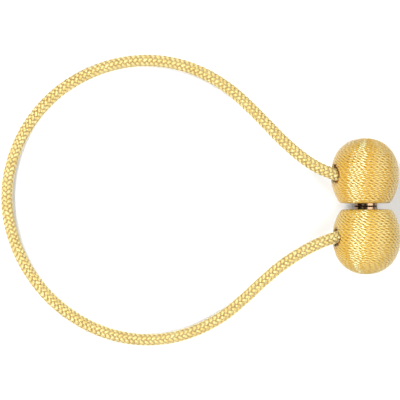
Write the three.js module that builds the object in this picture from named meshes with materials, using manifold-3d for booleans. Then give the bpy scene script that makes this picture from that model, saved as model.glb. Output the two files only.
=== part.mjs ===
// Magnetic curtain tieback, lying on a surface: two thread-wound balls held face to face by their
// magnets, and one braided rope that runs from the side of one ball round a loop into the other.
// Millimetres. +Z is up, +Y runs from the lower ball to the upper one along their shared line,
// +X points away from the rope's loop. The origin is on the surface, midway between the balls.

import * as THREE from 'three';
import { mergeVertices } from 'three/addons/utils/BufferGeometryUtils.js';
import Module from 'manifold-3d';

const wasm = await Module();
wasm.setup();

// Driving sizes of a wound ball
const ballRadius = 15.5; // at its widest circle
const domeHeight = 16.9; // from the widest circle to the top of the dome
const sideHeight = 12.7; // from the widest circle to the flat face that holds the magnet
const domeFullness = 2.2; // 2 would be a plain ellipse
const sideArcRadius = 22; // the side draws in towards the flat face on this arc
const rimRadius = 2.2; // rounding between the side and the flat face
const pressedDepth = 0.3; // the thread is pressed flat by this much where the ball rests
const ballShift = 0.35; // each ball sits this far to its own side of the magnets' shared axis
const ballGap = 2.8; // between the two flat faces

// Magnets
const magnetRadius = 5.35;
const magnetThickness = 3;
const magnetEdge = 0.3; // rounded edge

// Rope
const ropeRadius = 2.8;
const socketRadius = 3.4; // hole in the ball's side, a little wider than the rope

// Gap that parts two pieces that touch
const clearance = 0.3;

// Fineness of the round forms
const ballSegments = 48;
const domeSteps = 14;
const sideSteps = 6;
const rimSteps = 4;
const magnetSegments = 48;
const edgeSteps = 3;
const holeSegments = 32;
const ropeSides = 12;
const ropeSteps = 80;

// The rope's middle line, from its end inside the upper ball round to its end inside the lower one:
// straight out of each ball, down to the surface, and round the loop that lies on it
const ropeRoute = [
  [-12.2, 13.8, 19.5],
  [-16.9, 15.3, 19.5],
  [-22.4, 17.8, 19.2],
  [-29.0, 22.2, 18.1],
  [-37.0, 29.2, 15.7],
  [-45.0, 37.6, 12.3],
  [-53.0, 46.0, 8.7],
  [-61.8, 53.9, 5.6],
  [-72.0, 60.5, 3.4],
  [-83.3, 65.0, 2.9],
  [-95.4, 67.1, 2.9],
  [-107.6, 66.8, 2.9],
  [-119.5, 64.1, 2.9],
  [-130.8, 59.3, 2.9],
  [-141.0, 52.6, 2.9],
  [-149.7, 44.0, 2.9],
  [-156.7, 34.0, 2.9],
  [-161.6, 22.8, 2.9],
  [-164.3, 10.9, 2.9],
  [-164.4, -1.4, 2.9],
  [-162.0, -13.4, 2.9],
  [-157.5, -24.7, 2.9],
  [-151.0, -35.1, 2.9],
  [-142.8, -44.2, 2.9],
  [-133.1, -51.6, 2.9],
  [-122.3, -57.2, 2.9],
  [-110.5, -60.7, 2.9],
  [-98.4, -61.8, 2.9],
  [-86.2, -60.3, 2.9],
  [-74.7, -56.3, 3.4],
  [-64.2, -50.2, 5.6],
  [-55.2, -42.6, 8.7],
  [-46.9, -34.6, 12.3],
  [-38.1, -26.9, 15.7],
  [-29.3, -20.9, 18.1],
  [-22.3, -17.2, 19.2],
  [-16.7, -14.9, 19.5],
  [-12.0, -13.4, 19.5],
];

// Places that follow from the sizes above
const axisHeight = ballRadius - pressedDepth;
const widestFromMiddle = ballGap / 2 + sideHeight;
const pocketRadius = magnetRadius + clearance;
const magnetBack = clearance / 2 + magnetThickness; // from the middle of the pair

const threadMaterial = new THREE.MeshStandardMaterial({
  color: 0xd9b25c,
  roughness: 0.5,
  metalness: 0,
});
const ropeMaterial = new THREE.MeshStandardMaterial({
  color: 0xe3c67d,
  roughness: 0.6,
  metalness: 0,
});
const magnetMaterial = new THREE.MeshStandardMaterial({
  color: 0x8c6e52,
  roughness: 0.3,
  metalness: 0.9,
});

// Half outline of a ball from the top of its dome to the middle of its flat face. x is the
// distance from the ball's axis, and y the distance from the widest circle towards that face.
function ballOutline() {
  const outline = [];
  for (let i = 0; i <= domeSteps; i += 1) {
    const turn = (i / domeSteps) * (Math.PI / 2);
    const x = i === 0 ? 0 : ballRadius * Math.sin(turn) ** (2 / domeFullness);
    const y = i === domeSteps ? 0 : -domeHeight * Math.cos(turn) ** (2 / domeFullness);
    outline.push(new THREE.Vector2(x, y));
  }
  const arcCentre = ballRadius - sideArcRadius;
  const rimY = sideHeight - rimRadius;
  const rimX = arcCentre + Math.sqrt((sideArcRadius - rimRadius) ** 2 - rimY ** 2);
  const rimStart = Math.atan2(rimY, rimX - arcCentre);
  for (let i = 1; i <= sideSteps; i += 1) {
    const turn = (i / sideSteps) * rimStart;
    const x = arcCentre + sideArcRadius * Math.cos(turn);
    outline.push(new THREE.Vector2(x, sideArcRadius * Math.sin(turn)));
  }
  for (let i = 1; i <= rimSteps; i += 1) {
    const turn = rimStart + (i / rimSteps) * (Math.PI / 2 - rimStart);
    const x = rimX + rimRadius * Math.cos(turn);
    outline.push(new THREE.Vector2(x, rimY + rimRadius * Math.sin(turn)));
  }
  outline.push(new THREE.Vector2(0, sideHeight));
  return outline;
}

// Half outline of a magnet, from the middle of one face to the middle of the other
function magnetOutline() {
  const outline = [new THREE.Vector2(0, 0)];
  for (const [edgeY, from] of [[magnetEdge, -Math.PI / 2], [magnetThickness - magnetEdge, 0]]) {
    for (let i = 0; i <= edgeSteps; i += 1) {
      const turn = from + (i / edgeSteps) * (Math.PI / 2);
      const x = magnetRadius - magnetEdge + magnetEdge * Math.cos(turn);
      outline.push(new THREE.Vector2(x, edgeY + magnetEdge * Math.sin(turn)));
    }
  }
  outline.push(new THREE.Vector2(0, magnetThickness));
  return outline;
}

// Shared corners merged and flat slivers dropped, so that the surface closes on itself
function closeMesh(geometry) {
  const bare = geometry.clone();
  bare.deleteAttribute('normal');
  bare.deleteAttribute('uv');
  const merged = mergeVertices(bare, 1e-4);
  const corners = merged.index.array;
  const kept = [];
  for (let i = 0; i < corners.length; i += 3) {
    const [a, b, c] = corners.subarray(i, i + 3);
    if (a !== b && b !== c && c !== a) {
      kept.push(a, b, c);
    }
  }
  merged.setIndex(kept);
  return merged;
}

function toSolid(geometry) {
  const closed = closeMesh(geometry);
  return new wasm.Manifold(new wasm.Mesh({
    numProp: 3,
    vertProperties: new Float32Array(closed.attributes.position.array),
    triVerts: new Uint32Array(closed.index.array),
  }));
}

function toGeometry(solid) {
  const mesh = solid.getMesh();
  const geometry = new THREE.BufferGeometry();
  geometry.setAttribute('position', new THREE.BufferAttribute(mesh.vertProperties, 3));
  geometry.setIndex(new THREE.BufferAttribute(mesh.triVerts, 1));
  geometry.computeVertexNormals();
  return geometry;
}

// A round hole that starts just behind the end of what it holds and runs outwards past the
// ball's surface
function holeGeometry(radius, end, outward) {
  const length = ballRadius;
  const geometry = new THREE.CylinderGeometry(radius, radius, length, holeSegments);
  geometry.translate(0, length / 2 - clearance, 0);
  const turn = new THREE.Quaternion().setFromUnitVectors(new THREE.Vector3(0, 1, 0), outward);
  geometry.applyQuaternion(turn);
  geometry.translate(end.x, end.y, end.z);
  return geometry;
}

// side is 1 for the upper ball, whose flat face looks down the Y axis, and -1 for the lower one
function makeBall(name, side, ropeEnd, outward) {
  const outline = ballOutline().map(
    (point) => new THREE.Vector2(point.x, side * (widestFromMiddle - point.y)),
  );
  if (side > 0) {
    outline.reverse();
  }
  const wound = new THREE.LatheGeometry(outline, ballSegments);
  wound.translate(-side * ballShift, 0, axisHeight);

  const surfaceBlock = new THREE.BoxGeometry(ballRadius * 4, ballRadius * 8, ballRadius);
  surfaceBlock.translate(0, 0, -ballRadius / 2);

  const magnetEnd = new THREE.Vector3(0, side * magnetBack, axisHeight);
  const towardsMagnet = new THREE.Vector3(0, -side, 0);
  const solid = toSolid(wound)
    .subtract(toSolid(surfaceBlock))
    .subtract(toSolid(holeGeometry(pocketRadius, magnetEnd, towardsMagnet)))
    .subtract(toSolid(holeGeometry(socketRadius, ropeEnd, outward)));
  const ball = new THREE.Mesh(toGeometry(solid), threadMaterial);
  ball.name = name;
  return ball;
}

function makeMagnet(name, side) {
  const magnet = new THREE.Mesh(
    closeMesh(new THREE.LatheGeometry(magnetOutline(), magnetSegments)),
    magnetMaterial,
  );
  magnet.geometry.computeVertexNormals();
  magnet.name = name;
  magnet.position.set(0, side > 0 ? clearance / 2 : -magnetBack, axisHeight);
  return magnet;
}

function makeRope(curve) {
  const section = new THREE.Shape();
  for (let i = 0; i < ropeSides; i += 1) {
    const turn = (i / ropeSides) * Math.PI * 2;
    const x = ropeRadius * Math.cos(turn);
    const y = ropeRadius * Math.sin(turn);
    if (i === 0) {
      section.moveTo(x, y);
    } else {
      section.lineTo(x, y);
    }
  }
  section.closePath();
  const geometry = new THREE.ExtrudeGeometry(section, {
    steps: ropeSteps,
    bevelEnabled: false,
    extrudePath: curve,
  });
  const rope = new THREE.Mesh(geometry, ropeMaterial);
  rope.name = 'rope';
  return rope;
}

const ropeCurve = new THREE.CatmullRomCurve3(
  ropeRoute.map(([x, y, z]) => new THREE.Vector3(x, y, z)),
);
const upperEnd = ropeCurve.getPoint(0);
const upperOutward = ropeCurve.getTangent(0);
const lowerEnd = ropeCurve.getPoint(1);
const lowerOutward = ropeCurve.getTangent(1).negate();

const tieback = new THREE.Group();
tieback.add(makeBall('upper_ball', 1, upperEnd, upperOutward));
tieback.add(makeBall('lower_ball', -1, lowerEnd, lowerOutward));
tieback.add(makeMagnet('upper_magnet', 1));
tieback.add(makeMagnet('lower_magnet', -1));
tieback.add(makeRope(ropeCurve));

export default tieback;
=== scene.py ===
# Magnetic curtain tieback: two thread-wound balls held together by magnets, and a braided rope
import math

import bmesh
import bpy
from mathutils import Matrix, Vector, noise


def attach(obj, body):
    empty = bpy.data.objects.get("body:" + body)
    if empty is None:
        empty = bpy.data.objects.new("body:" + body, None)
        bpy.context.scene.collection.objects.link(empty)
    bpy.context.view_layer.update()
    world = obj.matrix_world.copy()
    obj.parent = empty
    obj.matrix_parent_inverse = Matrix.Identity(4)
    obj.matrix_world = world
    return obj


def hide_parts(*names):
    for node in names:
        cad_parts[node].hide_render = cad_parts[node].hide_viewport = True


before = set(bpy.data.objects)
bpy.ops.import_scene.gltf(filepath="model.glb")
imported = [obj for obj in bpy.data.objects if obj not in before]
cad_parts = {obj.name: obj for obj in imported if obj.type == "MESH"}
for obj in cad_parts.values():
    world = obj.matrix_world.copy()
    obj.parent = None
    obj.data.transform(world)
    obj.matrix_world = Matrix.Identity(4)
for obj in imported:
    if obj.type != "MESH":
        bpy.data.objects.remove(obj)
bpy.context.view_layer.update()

mm = 0.001
quarterTurn = math.pi / 2
fullTurn = 2 * math.pi
collection = bpy.context.scene.collection


# Camera, straight above the tieback

cameraPlan = {
    "height": 800 * mm,
    "pixelSize": 0.455 * mm,  # of the picture, at the height of the balls' shared line
    "ballLineHeight": 15.2 * mm,
    "pictureWidth": 400,
    "ballsInPicture": (365.65, 206.25),  # the point where the balls meet, in pixels
    "sensor": 36.0,
}


def addCamera():
    plan = cameraPlan
    half = plan["pictureWidth"] / 2
    across, down = plan["ballsInPicture"]
    data = bpy.data.cameras.new("overhead")
    data.sensor_width = plan["sensor"]
    distance = plan["height"] - plan["ballLineHeight"]
    data.lens = plan["sensor"] * distance / (plan["pictureWidth"] * plan["pixelSize"])
    camera = bpy.data.objects.new("overhead", data)
    camera.location = (
        (half - across) * plan["pixelSize"],
        (down - half) * plan["pixelSize"],
        plan["height"],
    )
    collection.objects.link(camera)
    bpy.context.scene.camera = camera


addCamera()
print("camera set")


# Node helpers

# sockets of a Mix node that mixes colours
colourA = 6
colourB = 7
colourOut = 2


def addNode(tree, kind, values=None, **settings):
    node = tree.nodes.new("ShaderNode" + kind)
    for key, value in settings.items():
        setattr(node, key, value)
    for key, value in (values or {}).items():
        node.inputs[key].default_value = value
    return node


def newGroup(name, inputs, outputs):
    tree = bpy.data.node_groups.new(name, "ShaderNodeTree")
    for label, kind, value in inputs:
        socket = tree.interface.new_socket(label, in_out="INPUT", socket_type=kind)
        if value is not None:
            socket.default_value = value
    for label, kind in outputs:
        tree.interface.new_socket(label, in_out="OUTPUT", socket_type=kind)
    return tree, tree.nodes.new("NodeGroupInput"), tree.nodes.new("NodeGroupOutput")


def placeGroup(tree, group, values):
    node = tree.nodes.new("ShaderNodeGroup")
    node.node_tree = group
    for key, value in values.items():
        node.inputs[key].default_value = value
    return node


def newMaterial(name, values):
    material = bpy.data.materials.new(name)
    material.use_nodes = True
    shader = material.node_tree.nodes["Principled BSDF"]
    for key, value in values.items():
        shader.inputs[key].default_value = value
    return material, material.node_tree, shader


# Fine filaments that run along a strand, from its own UV map
def makeFilamentGroup():
    tree, start, end = newGroup(
        "filaments",
        [
            ("Vector", "NodeSocketVector", None),
            ("Along", "NodeSocketFloat", 400.0),
            ("Across", "NodeSocketFloat", 12.0),
        ],
        [("Height", "NodeSocketFloat"), ("Tone", "NodeSocketFloat")],
    )
    link = tree.links.new
    stretch = addNode(tree, "CombineXYZ", {"Z": 1.0})
    scaled = addNode(tree, "VectorMath", operation="MULTIPLY")
    lines = addNode(tree, "TexNoise", {"Scale": 1.0, "Detail": 2.0, "Roughness": 0.6})
    drift = addNode(tree, "TexNoise", {"Scale": 0.12, "Detail": 1.0})
    blend = addNode(tree, "Mix", {"Factor": 0.35}, data_type="FLOAT")
    link(start.outputs["Along"], stretch.inputs["X"])
    link(start.outputs["Across"], stretch.inputs["Y"])
    link(start.outputs["Vector"], scaled.inputs[0])
    link(stretch.outputs[0], scaled.inputs[1])
    link(scaled.outputs[0], lines.inputs["Vector"])
    link(scaled.outputs[0], drift.inputs["Vector"])
    link(lines.outputs["Fac"], blend.inputs["A"])
    link(drift.outputs["Fac"], blend.inputs["B"])
    link(lines.outputs["Fac"], end.inputs["Height"])
    link(blend.outputs[0], end.inputs["Tone"])
    return tree


# Yarn colour: lighter and deeper gold in soft patches, strand by strand, with painted shade deep
# down
def makeYarnColourGroup():
    tree, start, end = newGroup(
        "yarn colour",
        [
            ("Vector", "NodeSocketVector", None),
            ("Tone", "NodeSocketFloat", 0.5),
            ("Strand", "NodeSocketFloat", 0.5),
            ("Depth", "NodeSocketFloat", 0.0),
            ("Light", "NodeSocketColor", (1, 1, 1, 1)),
            ("Deep", "NodeSocketColor", (0.5, 0.5, 0.5, 1)),
            ("Valley Shade", "NodeSocketColor", (0.1, 0.1, 0.1, 1)),
            ("Patch Scale", "NodeSocketFloat", 60.0),
        ],
        [("Color", "NodeSocketColor")],
    )
    link = tree.links.new
    patches = addNode(tree, "TexNoise", {"Detail": 3.0, "Roughness": 0.55})
    patchTone = addNode(tree, "Mix", {"Factor": 0.4}, data_type="FLOAT")
    strandTone = addNode(tree, "Mix", {"Factor": 0.3}, data_type="FLOAT")
    spread = addNode(tree, "MapRange", {"From Min": 0.35, "From Max": 0.65})
    gold = addNode(tree, "Mix", data_type="RGBA")
    withPaintedShade = addNode(tree, "Mix", data_type="RGBA")
    link(start.outputs["Vector"], patches.inputs["Vector"])
    link(start.outputs["Patch Scale"], patches.inputs["Scale"])
    link(start.outputs["Tone"], patchTone.inputs["A"])
    link(patches.outputs["Fac"], patchTone.inputs["B"])
    link(patchTone.outputs[0], strandTone.inputs["A"])
    link(start.outputs["Strand"], strandTone.inputs["B"])
    link(strandTone.outputs[0], spread.inputs["Value"])
    link(spread.outputs[0], gold.inputs["Factor"])
    link(start.outputs["Deep"], gold.inputs[colourA])
    link(start.outputs["Light"], gold.inputs[colourB])
    # painted shade: the valley colour mixed in where the yarn lies deep
    link(start.outputs["Depth"], withPaintedShade.inputs["Factor"])
    link(gold.outputs[colourOut], withPaintedShade.inputs[colourA])
    link(start.outputs["Valley Shade"], withPaintedShade.inputs[colourB])
    link(withPaintedShade.outputs[colourOut], end.inputs["Color"])
    return tree


filamentGroup = makeFilamentGroup()
yarnColourGroup = makeYarnColourGroup()


# A satin yarn: colour from the yarn group, filaments as a fine bump
def makeYarn(name, look):
    material, tree, shader = newMaterial(name, look["shader"])
    link = tree.links.new
    uv = addNode(tree, "UVMap", uv_map="UVMap")
    grain = addNode(tree, "Tangent", direction_type="UV_MAP", uv_map="UVMap")
    place = addNode(tree, "TexCoord")
    strand = addNode(tree, "Attribute", attribute_name="strand")
    # the depth attribute carries painted shade, from 0 on the crests to 1 deep down
    depth = addNode(tree, "Attribute", attribute_name="depth")
    filaments = placeGroup(tree, filamentGroup, look["filaments"])
    colour = placeGroup(tree, yarnColourGroup, look["colour"])
    bump = addNode(tree, "Bump", look["bump"])
    link(grain.outputs[0], shader.inputs["Tangent"])
    link(uv.outputs[0], filaments.inputs["Vector"])
    link(place.outputs["Object"], colour.inputs["Vector"])
    link(filaments.outputs["Tone"], colour.inputs["Tone"])
    link(strand.outputs["Fac"], colour.inputs["Strand"])
    link(depth.outputs["Fac"], colour.inputs["Depth"])
    link(colour.outputs[0], shader.inputs["Base Color"])
    link(filaments.outputs["Height"], bump.inputs["Height"])
    link(bump.outputs[0], shader.inputs["Normal"])
    return material


# Mesh helpers

weldDistance = 0.0001 * mm


# A mesh for strands: each corner knows its strand's own tone and its painted shade from how deep
# it lies
def startStrands():
    bm = bmesh.new()
    bm.loops.layers.uv.new("UVMap")
    bm.verts.layers.float.new("strand")
    bm.verts.layers.float.new("depth")
    return bm


# One closed tube: a grid whose rows are rings and whose two long edges meet under the strand.
# Each ring is a list of corners, each with its painted shade. The UV map runs along the strand
# in metres and round it from 0 to 1, and fibreTurn leans it, so that the fibres go round.
def addTube(bm, rings, length, tone, fibreTurn=0.0):
    strand = bm.verts.layers.float["strand"]
    depth = bm.verts.layers.float["depth"]
    uvMap = bm.loops.layers.uv["UVMap"]
    rows = len(rings) - 1
    sides = len(rings[0])
    made = bmesh.ops.create_grid(
        bm, x_segments=rows, y_segments=sides, size=0.5, calc_uvs=True
    )["verts"]
    for v in made:
        row = round((v.co.x + 0.5) * rows)
        side = round((v.co.y + 0.5) * sides) % sides
        v.co, v[depth] = rings[row][side]
        v[strand] = tone
        for loop in v.link_loops:
            loop[uvMap].uv.x *= length
            loop[uvMap].uv.y -= loop[uvMap].uv.x * fibreTurn
    bmesh.ops.remove_doubles(bm, verts=made, dist=weldDistance)


def closeEnds(bm):
    edges = [e for e in bm.edges if e.is_boundary]
    bmesh.ops.holes_fill(bm, edges=edges, sides=0)
    bmesh.ops.recalc_face_normals(bm, faces=bm.faces[:])


def finishMesh(name, bm, materials):
    mesh = bpy.data.meshes.new(name)
    bm.to_mesh(mesh)
    bm.free()
    for material in materials:
        mesh.materials.append(material)
    mesh.polygons.foreach_set("use_smooth", [True] * len(mesh.polygons))
    piece = bpy.data.objects.new(name, mesh)
    collection.objects.link(piece)
    return piece


# Slow, fast, slow, as t goes from 0 to 1
def ease(t):
    return t * t * (3 - 2 * t)


# Painted shade for a depth below the yarn's crests, from 0 to 1
def paintedShade(depth, look):
    share = (depth - look["shadeFrom"]) / (look["shadeTo"] - look["shadeFrom"])
    return ease(min(1.0, max(0.0, share)))


# Steps evenly along a line of points, and the line's length
def evenSteps(points, count):
    reach = [0.0]
    for a, b in zip(points, points[1:]):
        reach.append(reach[-1] + (b - a).length)
    steps = []
    k = 0
    for i in range(count + 1):
        target = reach[-1] * i / count
        while k < len(points) - 2 and reach[k + 1] < target:
            k += 1
        share = (target - reach[k]) / (reach[k + 1] - reach[k])
        steps.append(points[k].lerp(points[k + 1], share))
    return steps, reach[-1]


# Rope

# the middle line, from the end inside the upper ball to the end inside the lower one
ropeRoute = [
    (-0.0122, 0.0138, 0.0195),
    (-0.0169, 0.0153, 0.0195),
    (-0.0224, 0.0178, 0.0192),
    (-0.0290, 0.0222, 0.0181),
    (-0.0370, 0.0292, 0.0157),
    (-0.0450, 0.0376, 0.0123),
    (-0.0530, 0.0460, 0.0087),
    (-0.0618, 0.0539, 0.0056),
    (-0.0720, 0.0605, 0.0034),
    (-0.0833, 0.0650, 0.0029),
    (-0.0954, 0.0671, 0.0029),
    (-0.1076, 0.0668, 0.0029),
    (-0.1195, 0.0641, 0.0029),
    (-0.1308, 0.0593, 0.0029),
    (-0.1410, 0.0526, 0.0029),
    (-0.1497, 0.0440, 0.0029),
    (-0.1567, 0.0340, 0.0029),
    (-0.1616, 0.0228, 0.0029),
    (-0.1643, 0.0109, 0.0029),
    (-0.1644, -0.0014, 0.0029),
    (-0.1620, -0.0134, 0.0029),
    (-0.1575, -0.0247, 0.0029),
    (-0.1510, -0.0351, 0.0029),
    (-0.1428, -0.0442, 0.0029),
    (-0.1331, -0.0516, 0.0029),
    (-0.1223, -0.0572, 0.0029),
    (-0.1105, -0.0607, 0.0029),
    (-0.0984, -0.0618, 0.0029),
    (-0.0862, -0.0603, 0.0029),
    (-0.0747, -0.0563, 0.0034),
    (-0.0642, -0.0502, 0.0056),
    (-0.0552, -0.0426, 0.0087),
    (-0.0469, -0.0346, 0.0123),
    (-0.0381, -0.0269, 0.0157),
    (-0.0293, -0.0209, 0.0181),
    (-0.0223, -0.0172, 0.0192),
    (-0.0167, -0.0149, 0.0195),
    (-0.0120, -0.0134, 0.0195),
]

ropePlan = {
    "seed": 7,  # for the tones of the strands, here and on the balls
    "radius": 2.8 * mm,
    "spanSteps": 16,  # of the smooth curve between two points of the route
    "strandsEachWay": 8,
    "lay": 17.8 * mm,  # a strand goes once round in this length
    "strandWidth": 1.62 * mm,
    "strandThickness": 0.86 * mm,
    "weave": 0.46 * mm,  # how far a strand rises and dips
    "flatness": 0.15,  # how long it stays up or down before it crosses
    # where in its weave each way round starts, so that one is over where the other is under
    "weaveStart": {1: -0.5, -1: 2.5},
    "rings": 800,
    "sideTurns": (-1.9, -1.15, -0.4, 0.4, 1.15, 1.9, math.pi),  # denser where it shows
    "coreRadius": 1.75 * mm,
    "coreRings": 300,
    "coreSides": 12,
    "inBall": 3.2 * mm,  # length of each end inside its ball
    "cordStride": 4,  # every fourth ring gives a point of the cord
    # distance along the rope, and the braid's turn about its middle line there in degrees
    "turns": (
        (0.000, 22),
        (0.072, 22),
        (0.093, 31),
        (0.122, 40),
        (0.145, 27),
        (0.159, 30),
        (0.190, 47),
        (0.204, 49),
        (0.222, 25),
        (0.258, 15),
        (0.300, 15),
        (0.318, 11),
        (0.331, 3),
        (0.350, -1),
        (0.380, -1),
        (0.415, 8),
    ),
}
ropeLook = {
    "shader": {
        "Roughness": 0.42,
        "IOR": 1.55,
        "Specular IOR Level": 1.0,
        "Specular Tint": (0.7, 1.0, 0.85, 1),  # colour of the satin's highlight
        "Sheen Weight": 1.0,
        "Sheen Roughness": 0.5,
        "Sheen Tint": (1.0, 0.88, 0.5, 1),
        "Anisotropic": 0.8,
        "Anisotropic Rotation": 0.25,  # the gleam spreads across the filaments
    },
    "colour": {
        "Light": (0.4, 0.302, 0.08, 1),
        "Deep": (0.34, 0.22, 0.026, 1),
        # painted shade in the valleys between the strands
        "Valley Shade": (0.14, 0.052, 0.001, 1),
        "Patch Scale": 90.0,
    },
    "shadeFrom": 0.1 * mm,  # the painted valley shade sets in at this depth
    "shadeTo": 0.46 * mm,
    "filaments": {"Along": 600.0, "Across": 14.0},
    "bump": {"Strength": 0.35, "Distance": 0.05 * mm},
}


# The smooth curve through the route's points
def smoothRoute(route, stepsPerSpan):
    points = [Vector(p) for p in route]
    points = [points[0] * 2 - points[1], *points, points[-1] * 2 - points[-2]]
    curve = []
    for a, b, c, d in zip(points, points[1:], points[2:], points[3:]):
        ab = (b - a).length ** 0.5
        bc = (c - b).length ** 0.5
        cd = (d - c).length ** 0.5
        leave = ((b - a) / ab - (c - a) / (ab + bc) + (c - b) / bc) * bc
        arrive = ((c - b) / bc - (d - b) / (bc + cd) + (d - c) / cd) * bc
        for i in range(stepsPerSpan):
            t = i / stepsPerSpan
            rest = b * (2 * t**3 - 3 * t**2 + 1) + c * (3 * t**2 - 2 * t**3)
            curve.append(rest + leave * (t**3 - 2 * t**2 + t) + arrive * (t**3 - t**2))
    curve.append(points[-2])
    return curve


# Each step's place with two directions across the line: up, and away from the loop's inside
def lineFrames(steps):
    frames = []
    up = Vector((0, 0, 1))
    for i, place in enumerate(steps):
        ahead = steps[min(i + 1, len(steps) - 1)] - steps[max(i - 1, 0)]
        ahead.normalize()
        up = (up - ahead * up.dot(ahead)).normalized()
        frames.append((place, up.copy(), ahead.cross(up)))
    return frames


# The turn at a distance along the rope, eased from one row of the table to the next
def turnAt(along):
    rows = ropePlan["turns"]
    for (fromPlace, fromTurn), (toPlace, toTurn) in zip(rows, rows[1:]):
        if along <= toPlace:
            t = ease((along - fromPlace) / (toPlace - fromPlace))
            return math.radians(fromTurn * (1 - t) + toTurn * t)


# How far the strands lie from the rope's middle line where they cross
def braidRadius():
    return ropePlan["radius"] - ropePlan["weave"] - ropePlan["strandThickness"] / 2


# The middle line of one strand, over two others and under two in turn. Each point holds its
# place, the direction out of the rope and its distance from the rope's middle line.
def strandLine(frames, length, way, k):
    plan = ropePlan
    line = []
    for i, (place, up, out) in enumerate(frames):
        along = length * i / plan["rings"]
        crossing = 2 * plan["strandsEachWay"] * along / plan["lay"]
        wave = (crossing + way * 2 * k + plan["weaveStart"][way]) * quarterTurn
        flatness = plan["flatness"]
        rise = (1 + flatness) * math.cos(wave) - flatness * math.cos(3 * wave)
        radius = braidRadius() + plan["weave"] * rise
        turn = fullTurn * (k / plan["strandsEachWay"] + way * along / plan["lay"])
        turn += turnAt(along)
        outward = up * math.cos(turn) + out * math.sin(turn)
        line.append((place + outward * radius, outward, radius))
    return line


# The rings of one strand: a flat oval that lies round the rope
def strandRings(line):
    plan = ropePlan
    rings = []
    for i, (place, outward, radius) in enumerate(line):
        before = line[max(i - 1, 0)][0]
        after = line[min(i + 1, len(line) - 1)][0]
        sideways = (after - before).normalized().cross(outward).normalized()
        ring = []
        for turn in plan["sideTurns"]:
            width = plan["strandWidth"] / 2 * math.sin(turn)
            height = plan["strandThickness"] / 2 * math.cos(turn)
            sag = width * width / (2 * braidRadius())
            corner = place + sideways * width + outward * (height - sag)
            deep = plan["radius"] - (radius + height - sag)
            ring.append((corner, paintedShade(deep, ropeLook)))
        rings.append(ring)
    return rings


# The plain core that fills the braid, coloured all in the painted valley shade
def coreRings(steps):
    plan = ropePlan
    rings = []
    for place, up, out in lineFrames(evenSteps(steps, plan["coreRings"])[0]):
        ring = []
        for j in range(plan["coreSides"]):
            turn = fullTurn * j / plan["coreSides"]
            across = up * math.cos(turn) + out * math.sin(turn)
            ring.append((place + across * plan["coreRadius"], 1.0))
        rings.append(ring)
    return rings


def makeRope(material):
    plan = ropePlan
    steps, length = evenSteps(smoothRoute(ropeRoute, plan["spanSteps"]), plan["rings"])
    frames = lineFrames(steps)
    bm = startStrands()
    for way in (1, -1):
        for k in range(plan["strandsEachWay"]):
            rings = strandRings(strandLine(frames, length, way, k))
            addTube(bm, rings, length, noise.random())
    addTube(bm, coreRings(steps), length, 0.5)
    closeEnds(bm)
    piece = finishMesh("braided_rope", bm, [material])
    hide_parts("rope")
    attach(piece, "root")
    print("rope braided, length", round(length, 4))


noise.seed_set(ropePlan["seed"])
makeRope(makeYarn("braid yarn", ropeLook))


# Wound balls

ballPlan = {
    "radius": 15.5 * mm,
    "domeHeight": 16.9 * mm,
    "sideHeight": 12.7 * mm,
    "domeFullness": 2.2,
    "sideArcRadius": 22 * mm,
    "rimRadius": 2.2 * mm,
    "shift": 0.35 * mm,  # each ball sits this far to its own side of the magnets' line
    "gap": 2.8 * mm,
    "lineHeight": 15.2 * mm,
    "pocketRadius": 5.65 * mm,
    "pocketBack": 3.45 * mm,
    "domeSteps": 120,
    "sideSteps": 40,
    "rimSteps": 12,
    "outlineSteps": 400,
    "rowPitch": 1.24 * mm,
    "threadRadius": 0.56 * mm,
    "plies": 2,
    "plyWidth": 0.56 * mm,  # half of it
    "plyHeight": 0.42 * mm,  # half of it
    "plySlide": 0.37 * mm,  # how far a ply swings to each side
    "plyRise": 0.15 * mm,  # and up and down: the thread lies a little flattened
    "twist": 5.4 * mm,  # a ply goes once round the thread in this length
    "fibreTurn": 100,  # how often the fibres go round a ply in a metre
    "step": 0.4 * mm,
    "windStart": 0.35 * mm,  # the thread starts this far from the dome's top
    "tightest": 0.5 * mm,  # radius of the tightest turn, at the dome's top
    "sideTurns": (-1.85, -0.95, 0.0, 0.95, 1.85, math.pi),  # denser where it shows
    "waver": 0.12 * mm,  # how unevenly the rows lie
    "waverScale": 160,  # how often that changes, in a metre
    "waverApart": 9,  # keeps the two balls' rows from wavering alike
    "holeRadius": 4.05 * mm,  # of the thread's middle line round the rope
    "lip": 0.8 * mm,  # the cut thread bends into the hole over this length
    "tuck": 1.6 * mm,  # and goes this deep
    "shortestRun": 7,  # points: a shorter scrap of thread is left out
    "floorGap": 0.02 * mm,
    "coreDepth": 1.15 * mm,
    "coreSteps": 44,
    "coreSides": 72,
    "coreFloorGap": 0.5 * mm,
    "coreWeld": 0.001 * mm,
    "coreSlot": 1,  # of the ball's materials
}
threadLook = {
    "shader": {
        "Roughness": 0.33,
        "IOR": 1.58,
        "Specular IOR Level": 1.0,
        "Specular Tint": (0.45, 1.0, 0.9, 1),
        "Anisotropic": 0.8,
        "Anisotropic Rotation": 0.25,
    },
    "colour": {
        "Light": (0.425, 0.27, 0.03, 1),
        "Deep": (0.39, 0.215, 0.012, 1),
        # painted shade in the valleys between plies and rows
        "Valley Shade": (0.2, 0.07, 0.001, 1),
        "Patch Scale": 120.0,
    },
    "shadeFrom": 0.04 * mm,
    "shadeTo": 0.42 * mm,
    "filaments": {"Along": 900.0, "Across": 7.0},
    "bump": {"Strength": 0.3, "Distance": 0.03 * mm},
}
# painted shade for the core, which shows only in the rope's hole and between the rows
coreLook = {
    "dark": (0.07, 0.022, 0.004, 1),
    "light": (0.14, 0.05, 0.01, 1),
    "mottle": {"Scale": 300.0, "Detail": 2.0},
}


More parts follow.
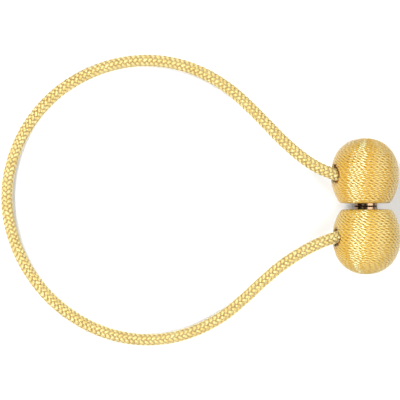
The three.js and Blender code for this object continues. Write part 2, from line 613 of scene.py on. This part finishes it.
# Half outline from the dome's top to the magnet's pocket: distance from the ball's axis, and
# distance from the widest circle towards the flat face
def ballOutline():
    plan = ballPlan
    power = 2 / plan["domeFullness"]
    arcCentre = plan["radius"] - plan["sideArcRadius"]
    rimY = plan["sideHeight"] - plan["rimRadius"]
    reach = plan["sideArcRadius"] - plan["rimRadius"]
    rimX = arcCentre + math.sqrt(reach**2 - rimY**2)
    rimStart = math.atan2(rimY, rimX - arcCentre)
    outline = []
    for i in range(plan["domeSteps"]):
        turn = i / plan["domeSteps"] * quarterTurn
        x = plan["radius"] * math.sin(turn) ** power
        outline.append(Vector((x, -plan["domeHeight"] * math.cos(turn) ** power)))
    for i in range(plan["sideSteps"]):
        turn = i / plan["sideSteps"] * rimStart
        x = arcCentre + plan["sideArcRadius"] * math.cos(turn)
        outline.append(Vector((x, plan["sideArcRadius"] * math.sin(turn))))
    for i in range(plan["rimSteps"] + 1):
        turn = rimStart + i / plan["rimSteps"] * (quarterTurn - rimStart)
        x = rimX + plan["rimRadius"] * math.cos(turn)
        outline.append(Vector((x, rimY + plan["rimRadius"] * math.sin(turn))))
    outline.append(Vector((plan["pocketRadius"], plan["sideHeight"])))
    return outline


# The outline moved in by a depth, in even steps, each with the direction away from the ball,
# and the length of the outline
def insetOutline(depth, count):
    steps, length = evenSteps(ballOutline(), count)
    inset = []
    for i, place in enumerate(steps):
        ahead = steps[min(i + 1, count)] - steps[max(i - 1, 0)]
        away = Vector((ahead.y, -ahead.x)).normalized()
        moved = place - away * depth
        inset.append((max(moved.x, 0.0), moved.y, away))
    return inset, length


# The middle line of the thread in runs, from the dome's top row by row to the magnet. Where
# it meets the rope's hole it is cut and bent inwards. Each point holds its place, the two
# directions across the thread, the length wound so far and its painted shade.
def windThread(side, ropeEnd, ropeWay):
    plan = ballPlan
    count = plan["outlineSteps"]
    outline, length = insetOutline(plan["threadRadius"], count)
    widest = plan["gap"] / 2 + plan["sideHeight"]
    centreX = -side * plan["shift"]

    def onBall(turn, along):
        at = min(max(along / length, 0.0), 1.0) * count
        k = min(int(at), count - 1)
        t = at - k
        x = outline[k][0] * (1 - t) + outline[k + 1][0] * t
        y = outline[k][1] * (1 - t) + outline[k + 1][1] * t
        away = outline[k][2].lerp(outline[k + 1][2], t)
        ray = Vector((-math.cos(turn), 0, math.sin(turn)))
        place = Vector((centreX, side * (widest - y), plan["lineHeight"])) + ray * x
        outward = (ray * away.x + Vector((0, -side * away.y, 0))).normalized()
        return place, outward, x

    runs = []
    run = []
    turn = 0.0
    wound = 0.0
    ownWaver = Vector((plan["waverApart"] * side, 0, 0))
    while True:
        along = plan["windStart"] + plan["rowPitch"] * turn / fullTurn
        if along > length - plan["threadRadius"]:
            break
        drift = noise.noise(onBall(turn, along)[0] * plan["waverScale"] + ownWaver)
        place, outward, x = onBall(turn, along + plan["waver"] * drift)
        offset = place - ropeEnd
        aside = offset - ropeWay * offset.dot(ropeWay)
        apart = aside.length - plan["holeRadius"]
        atHole = offset.dot(ropeWay) > 0 and apart < plan["lip"]
        ahead = Vector((math.sin(turn), 0, math.cos(turn)))
        across = outward.cross(ahead).normalized()
        if across.y < 0:
            across = -across
        if atHole and apart < 0:
            if run:
                runs.append(run)
            run = []
        else:
            # painted shade, rising as the thread bends into the rope's hole
            shade = 0.0
            if atHole:
                shade = 1 - apart / plan["lip"]
                lean = math.asin(min(1.0, shade))
                place = place - ropeWay * (plan["lip"] * (1 - math.cos(lean)))
                outward = outward * math.cos(lean) - aside.normalized() * math.sin(lean)
                across = (across - outward * across.dot(outward)).normalized()
            run.append((place, outward, across, wound, shade))
        step = plan["step"] / max(x, plan["tightest"])
        turn += step
        wound += step * x
    runs.append(run)
    return runs


# The runs with their cut ends led on into the hole. The thread's own start and finish stay.
def tuckEnds(runs, ropeWay):
    plan = ballPlan
    for k, run in enumerate(runs):
        for atEnd in (False, True):
            if (k == 0 and not atEnd) or (k == len(runs) - 1 and atEnd):
                continue
            place, outward, across, wound, shade = run[-1] if atEnd else run[0]
            for i in range(1, 1 + round(plan["tuck"] / plan["step"])):
                deeper = place - ropeWay * (i * plan["step"])
                sign = 1 if atEnd else -1
                # the tucked end lies in full painted shade
                point = (deeper, outward, across, wound + sign * i * plan["step"], 1.0)
                if atEnd:
                    run.append(point)
                else:
                    run.insert(0, point)
    return [run for run in runs if len(run) >= plan["shortestRun"]]


# The rings of one ply along a run of thread
def plyRings(run, ply):
    plan = ballPlan
    rings = []
    for place, outward, across, wound, shade in run:
        phase = fullTurn * (ply / plan["plies"] - wound / plan["twist"])
        rise = plan["plyRise"] * math.cos(phase)
        slide = plan["plySlide"] * math.sin(phase)
        ring = []
        for turn in plan["sideTurns"]:
            up = rise + plan["plyHeight"] * math.cos(turn)
            over = slide + plan["plyWidth"] * math.sin(turn)
            corner = place + outward * up + across * over
            corner.z = max(corner.z, plan["floorGap"])
            # painted shade: at the rope's hole, or from lying deep, whichever is darker
            dark = max(shade, paintedShade(plan["threadRadius"] - up, threadLook))
            ring.append((corner, dark))
        rings.append(ring)
    return rings


# Core that shows only in the rope's hole and deep between the rows, coloured with painted shade
def addCore(bm, side):
    plan = ballPlan
    strand = bm.verts.layers.float["strand"]
    depth = bm.verts.layers.float["depth"]
    threadVerts = set(bm.verts)
    threadFaces = set(bm.faces)
    widest = plan["gap"] / 2 + plan["sideHeight"]
    outline = insetOutline(plan["coreDepth"], plan["coreSteps"])[0]
    profile = [(x, side * (widest - y)) for x, y, away in outline]
    profile[0] = (0.0, profile[0][1])
    profile[-1] = (plan["pocketRadius"], profile[-1][1])
    profile.append((plan["pocketRadius"], side * plan["pocketBack"]))
    profile.append((0.0, side * plan["pocketBack"]))
    axis = Vector((-side * plan["shift"], 0, plan["lineHeight"]))
    line = [bm.verts.new(axis + Vector((-x, y, 0))) for x, y in profile]
    edges = [bm.edges.new(pair) for pair in zip(line, line[1:])]
    bmesh.ops.spin(
        bm,
        geom=line + edges,
        cent=axis,
        axis=(0, 1, 0),
        angle=fullTurn,
        steps=plan["coreSides"],
        use_merge=True,
    )
    made = [v for v in bm.verts if v not in threadVerts]
    bmesh.ops.remove_doubles(bm, verts=made, dist=plan["coreWeld"])
    for v in bm.verts:
        if v not in threadVerts:
            v[strand] = 0.5
            v[depth] = 1.0
            v.co.z = max(v.co.z, plan["coreFloorGap"])
    for face in bm.faces:
        if face not in threadFaces:
            face.material_index = plan["coreSlot"]


# side is 1 for the upper ball, whose flat face looks down the Y axis, and -1 for the lower one
def makeBall(name, node, side, materials):
    plan = ballPlan
    ends = [Vector(p) for p in (ropeRoute if side > 0 else ropeRoute[::-1])[:2]]
    ropeWay = (ends[1] - ends[0]).normalized()
    runs = tuckEnds(windThread(side, ends[0], ropeWay), ropeWay)
    bm = startStrands()
    for ply in range(plan["plies"]):
        tone = noise.random()
        for run in runs:
            length = run[-1][3] - run[0][3]
            addTube(bm, plyRings(run, ply), length, tone, plan["fibreTurn"])
    closeEnds(bm)
    addCore(bm, side)
    bmesh.ops.recalc_face_normals(bm, faces=bm.faces[:])
    print(name, "wound,", len(bm.faces), "faces")
    piece = finishMesh(name, bm, materials)
    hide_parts(node)
    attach(piece, "root")


# Painted shade for the core under the thread, slightly mottled
def makeCoreMaterial():
    look = coreLook
    material, tree, shader = newMaterial(
        "core in shade", {"Roughness": 1.0, "Specular IOR Level": 0.1}
    )
    place = addNode(tree, "TexCoord")
    mottle = addNode(tree, "TexNoise", look["mottle"])
    tint = addNode(tree, "Mix", data_type="RGBA")
    tint.inputs[colourA].default_value = look["dark"]
    tint.inputs[colourB].default_value = look["light"]
    tree.links.new(place.outputs["Object"], mottle.inputs["Vector"])
    tree.links.new(mottle.outputs["Fac"], tint.inputs["Factor"])
    tree.links.new(tint.outputs[colourOut], shader.inputs["Base Color"])
    return material


ballMaterials = [makeYarn("wound thread", threadLook), makeCoreMaterial()]
makeBall("upper_winding", "upper_ball", 1, ballMaterials)
makeBall("lower_winding", "lower_ball", -1, ballMaterials)


# Magnets

magnetPlan = {
    "radius": 5.35 * mm,
    "thickness": 3.13 * mm,
    "faceGap": 0.02 * mm,  # from the middle of the pair to each face
    "edge": 0.42 * mm,
    "edgeSteps": 5,
    "sides": 128,
}
magnetLook = {
    "dark": (0.13, 0.08, 0.045, 1),
    "light": (0.24, 0.16, 0.1, 1),
    "clouds": {"Scale": 140.0, "Detail": 2.0},  # cleaner and duller parts of the plating
    "roughness": {"From Min": 0.3, "From Max": 0.7, "To Min": 0.16, "To Max": 0.32},
    "grain": {"Scale": 900.0, "Detail": 3.0},
    "bump": {"Strength": 0.08, "Distance": 0.02 * mm},
}


def makeMagnetMaterial():
    look = magnetLook
    material, tree, shader = newMaterial("magnet plating", {"Metallic": 1.0})
    link = tree.links.new
    place = addNode(tree, "TexCoord")
    grain = addNode(tree, "TexNoise", look["grain"])
    clouds = addNode(tree, "TexNoise", look["clouds"])
    roughness = addNode(tree, "MapRange", look["roughness"])
    tint = addNode(tree, "Mix", data_type="RGBA")
    tint.inputs[colourA].default_value = look["dark"]
    tint.inputs[colourB].default_value = look["light"]
    bump = addNode(tree, "Bump", look["bump"])
    link(place.outputs["Object"], grain.inputs["Vector"])
    link(place.outputs["Object"], clouds.inputs["Vector"])
    link(clouds.outputs["Fac"], roughness.inputs["Value"])
    link(roughness.outputs[0], shader.inputs["Roughness"])
    link(clouds.outputs["Fac"], tint.inputs["Factor"])
    link(tint.outputs[colourOut], shader.inputs["Base Color"])
    link(grain.outputs["Fac"], bump.inputs["Height"])
    link(bump.outputs[0], shader.inputs["Normal"])
    return material


def makeMagnet(name, node, side, material):
    plan = magnetPlan
    bm = bmesh.new()
    bmesh.ops.create_cone(
        bm,
        cap_ends=True,
        segments=plan["sides"],
        radius1=plan["radius"],
        radius2=plan["radius"],
        depth=plan["thickness"],
        matrix=Matrix.Rotation(quarterTurn, 4, "X"),
    )
    rims = [e for e in bm.edges if abs(e.verts[0].co.y - e.verts[1].co.y) < plan["edge"]]
    bmesh.ops.bevel(
        bm,
        geom=rims,
        offset=plan["edge"],
        offset_type="OFFSET",
        affect="EDGES",
        segments=plan["edgeSteps"],
        profile=0.5,
        material=-1,
    )
    middle = plan["faceGap"] + plan["thickness"] / 2
    bmesh.ops.translate(bm, verts=bm.verts, vec=(0, side * middle, ballPlan["lineHeight"]))
    piece = finishMesh(name, bm, [material])
    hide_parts(node)
    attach(piece, "root")


magnetMaterial = makeMagnetMaterial()
makeMagnet("upper_disc", "upper_magnet", 1, magnetMaterial)
makeMagnet("lower_disc", "lower_magnet", -1, magnetMaterial)
print("magnets set")


# Floor and light

floorPlan = {
    "size": 3.0,
    "drop": 0.05 * mm,  # it lies this far below the tieback
    "look": {"Base Color": (0.6, 0.6, 0.595, 1), "Roughness": 0.9},
}
lightPlan = {
    "world": {"Color": (1.0, 0.99, 0.97, 1), "Strength": 0.06},
    "target": (-0.03, 0.0, 0.015),
    # tilt from upright towards the picture's right, then towards its top, in degrees
    "upper key": {"right": -32, "top": 30, "distance": 0.9, "size": (0.34, 0.4), "power": 11.5},
    "lower key": {"right": -32, "top": -30, "distance": 0.9, "size": (0.34, 0.4), "power": 11.5},
    "broad": {"right": 42, "top": 0, "distance": 1.0, "size": (1.0, 0.8), "power": 16.3},
}


def makeFloor():
    bm = bmesh.new()
    bmesh.ops.create_grid(bm, x_segments=1, y_segments=1, size=floorPlan["size"] / 2)
    bmesh.ops.translate(bm, verts=bm.verts, vec=(0, 0, -floorPlan["drop"]))
    material, tree, shader = newMaterial("pale floor", floorPlan["look"])
    finishMesh("floor", bm, [material])


def addLight(name):
    plan = lightPlan[name]
    data = bpy.data.lights.new(name, "AREA")
    data.shape = "RECTANGLE"
    data.size, data.size_y = plan["size"]
    data.energy = plan["power"]
    light = bpy.data.objects.new(name, data)
    turn = Matrix.Rotation(math.radians(plan["right"]), 4, "Y")
    turn = turn @ Matrix.Rotation(math.radians(-plan["top"]), 4, "X")
    away = turn @ Vector((0, 0, plan["distance"]))
    light.location = Vector(lightPlan["target"]) + away
    light.rotation_euler = turn.to_euler()
    collection.objects.link(light)


def addWorld():
    world = bpy.data.worlds.new("studio")
    world.use_nodes = True
    background = world.node_tree.nodes["Background"]
    for key, value in lightPlan["world"].items():
        background.inputs[key].default_value = value
    bpy.context.scene.world = world


makeFloor()
addWorld()
for light in ("upper key", "lower key", "broad"):
    addLight(light)
bpy.context.scene.view_settings.view_transform = "Standard"
print("studio lit")
